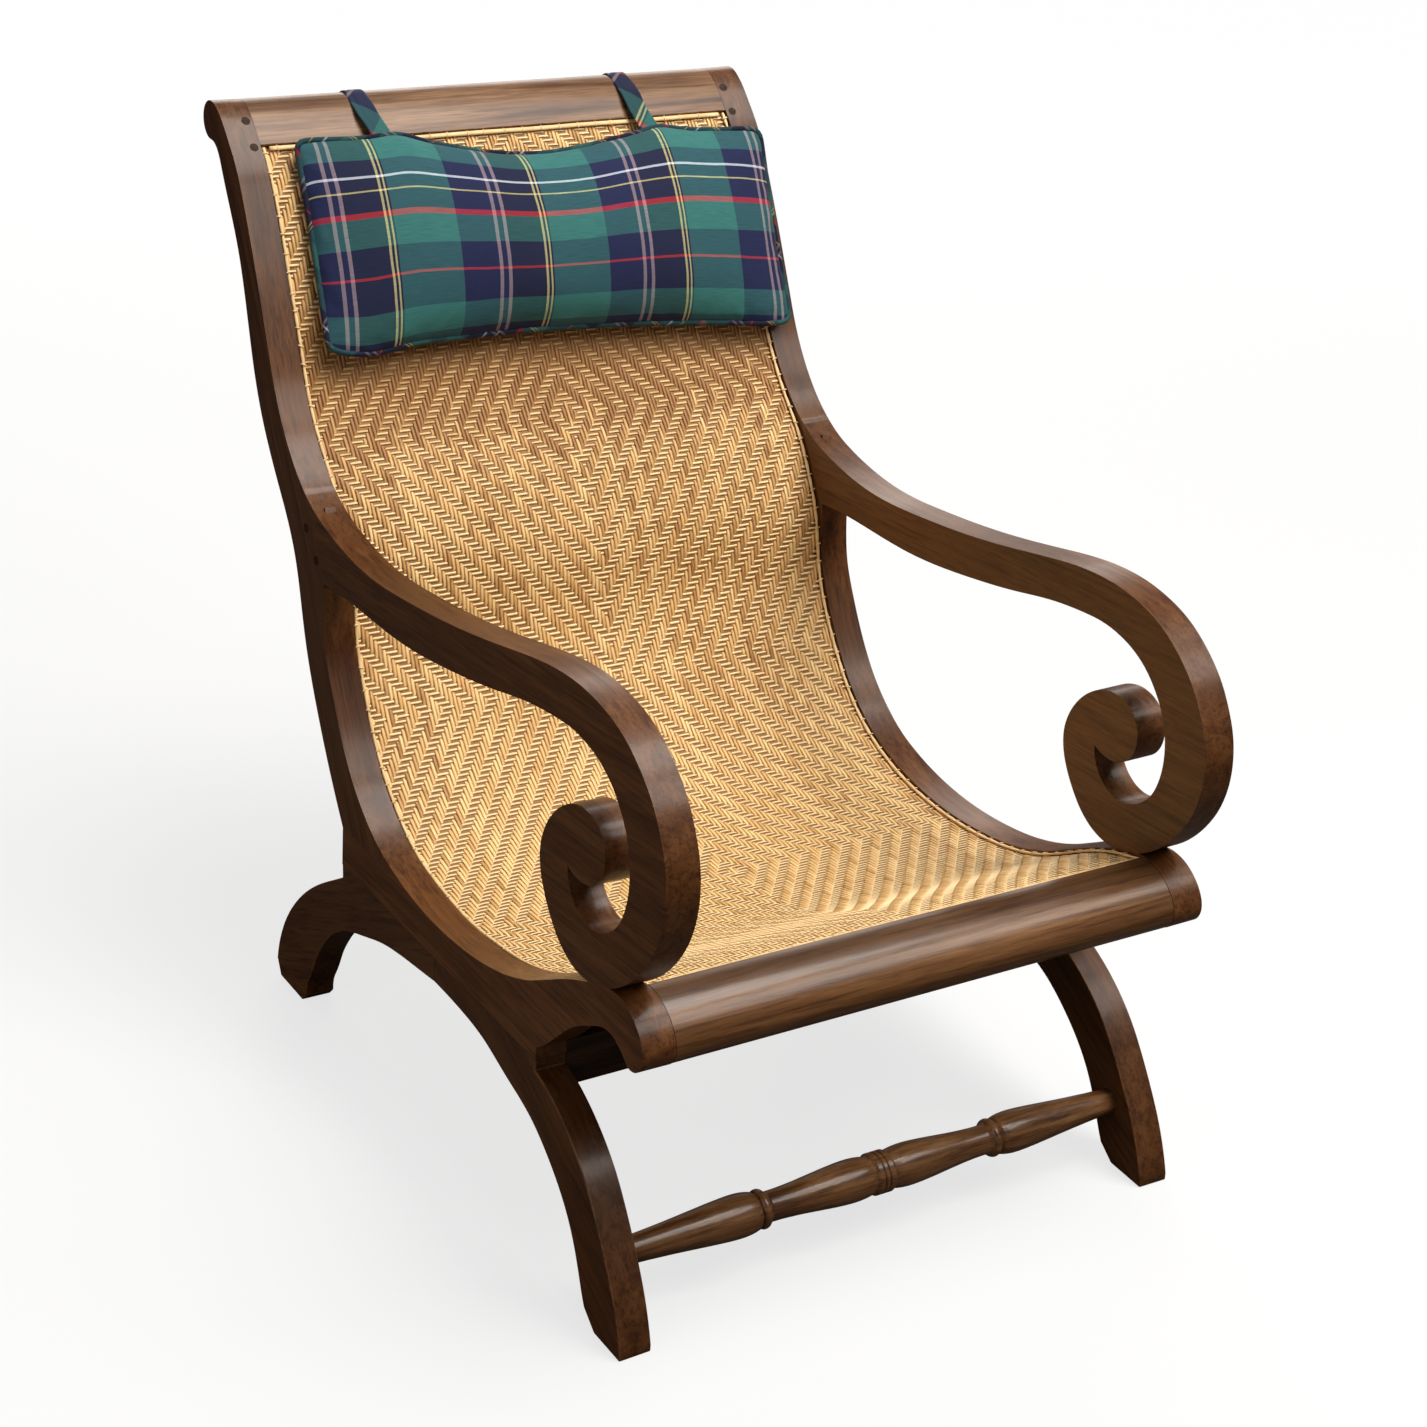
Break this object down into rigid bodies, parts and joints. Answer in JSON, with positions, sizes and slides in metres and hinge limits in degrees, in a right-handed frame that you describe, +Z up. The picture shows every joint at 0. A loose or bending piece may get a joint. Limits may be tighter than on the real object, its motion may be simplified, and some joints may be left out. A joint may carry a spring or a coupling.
{
  "type": "cane lounge chair",
  "caption": "Low reclining lounge chair with scrolled arms, a woven cane sling between two shaped side frames and a hung head pillow.",
  "frame": {"origin": "centre of the bounding box's base, on the floor below the chair", "axes": "+X toward the right of a person facing the chair's front, -Y toward the front, +Z up"},
  "size_m": [0.6502, 0.9768, 0.9186],
  "materials": {
    "dark_teak": "polished dark hardwood",
    "under_frame_wood": "dark hardwood, matt",
    "peg_wood": "dark hardwood end grain",
    "dowel_wood": "plain hardwood",
    "rattan_weave": "natural woven cane",
    "rattan_bead": "natural cane strand",
    "tartan_cloth": "woven check cloth, navy and green",
    "strap_cloth": "woven check cloth, folded",
    "tack_brass": "domed tack"
  },
  "bodies": {
    "chair": {"cane_panel": "rattan_weave", "front_edge_bead": "rattan_bead", "front_rail": "dark_teak", "front_stretcher": "dark_teak", "left_arm": "dark_teak", "left_arm_peg_lower": "peg_wood", "left_arm_peg_upper": "peg_wood", "left_arm_scroll_dowel": "dowel_wood", "left_back_stile": "dark_teak", "left_cane_batten": "under_frame_wood", "left_edge_bead": "rattan_bead", "left_front_leg": "dark_teak", "left_front_leg_front_dowel": "dowel_wood", "left_front_leg_rear_dowel": "dowel_wood", "left_rear_leg": "dark_teak", "left_rear_leg_front_dowel": "dowel_wood", "left_rear_leg_rear_dowel": "dowel_wood", "left_scarf_front_dowel": "dowel_wood", "left_scarf_rear_dowel": "dowel_wood", "left_seat_rail": "dark_teak", "left_strap_tack": "tack_brass", "left_strap_wrap": "strap_cloth", "left_top_peg": "peg_wood", "left_top_plug": "peg_wood", "rear_cross_rail": "under_frame_wood", "right_arm": "dark_teak", "right_arm_peg_lower": "peg_wood", "right_arm_peg_upper": "peg_wood", "right_arm_scroll_dowel": "dowel_wood", "right_back_stile": "dark_teak", "right_cane_batten": "under_frame_wood", "right_edge_bead": "rattan_bead", "right_front_leg": "dark_teak", "right_front_leg_front_dowel": "dowel_wood", "right_front_leg_rear_dowel": "dowel_wood", "right_rear_leg": "dark_teak", "right_rear_leg_front_dowel": "dowel_wood", "right_rear_leg_rear_dowel": "dowel_wood", "right_scarf_front_dowel": "dowel_wood", "right_scarf_rear_dowel": "dowel_wood", "right_seat_rail": "dark_teak", "right_strap_tack": "tack_brass", "right_strap_wrap": "strap_cloth", "right_top_peg": "peg_wood", "right_top_plug": "peg_wood", "seat_cross_rail": "under_frame_wood", "top_edge_bead": "rattan_bead", "top_rail": "dark_teak"},
    "headrest": {"headrest_pillow": "tartan_cloth", "left_strap_drop": "strap_cloth", "right_strap_drop": "strap_cloth"}
  },
  "joints": [
    {"name": "headrest_swing", "type": "hinge", "parent": "chair", "child": "headrest", "pos_m": [0, 0.43436, 0.90173], "axis": [-1, 0, 0], "range_deg": [0, 110]}
  ]
}
